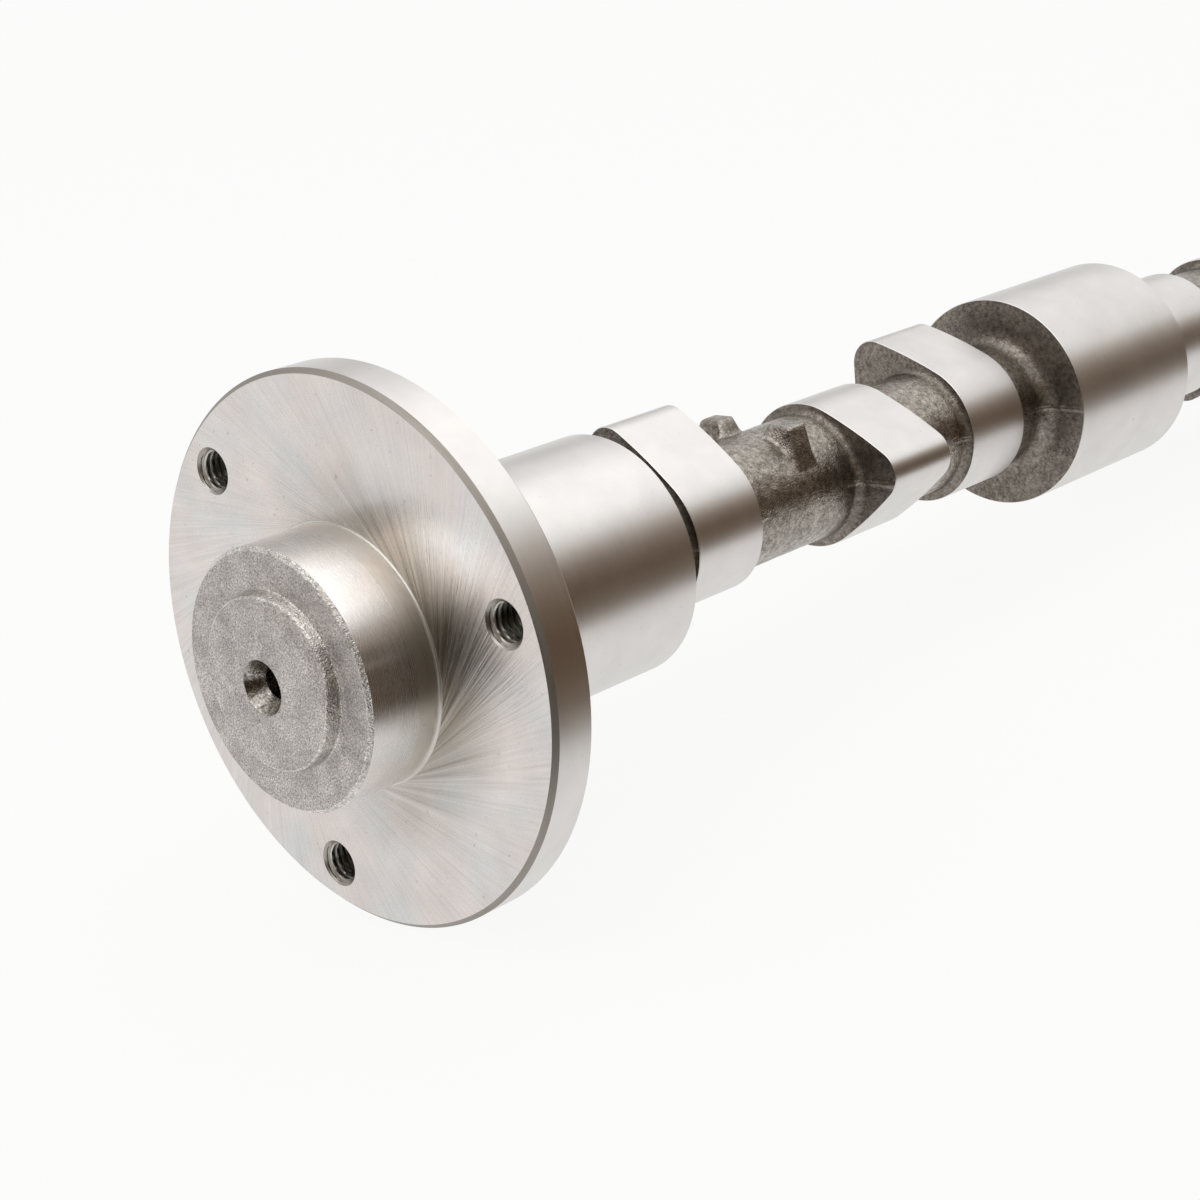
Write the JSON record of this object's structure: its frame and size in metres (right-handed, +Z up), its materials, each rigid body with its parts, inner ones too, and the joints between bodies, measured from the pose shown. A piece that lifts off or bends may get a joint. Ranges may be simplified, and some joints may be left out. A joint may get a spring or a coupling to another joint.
{
  "type": "camshaft",
  "caption": "Cast iron engine camshaft with ground journals and cam lobes, and a gear flange with a spigot and tapped holes at its front end.",
  "frame": {"origin": "centre of the gear flange's front face, on the shaft's axis", "axes": "+X along the shaft from the flange to the rear journal, +Z up"},
  "size_m": [0.4206, 0.1016, 0.1016],
  "materials": {
    "ground_iron": "ground journals and lobes on an as-cast core"
  },
  "bodies": {
    "root": {"camshaft": "ground_iron"}
  },
  "joints": []
}
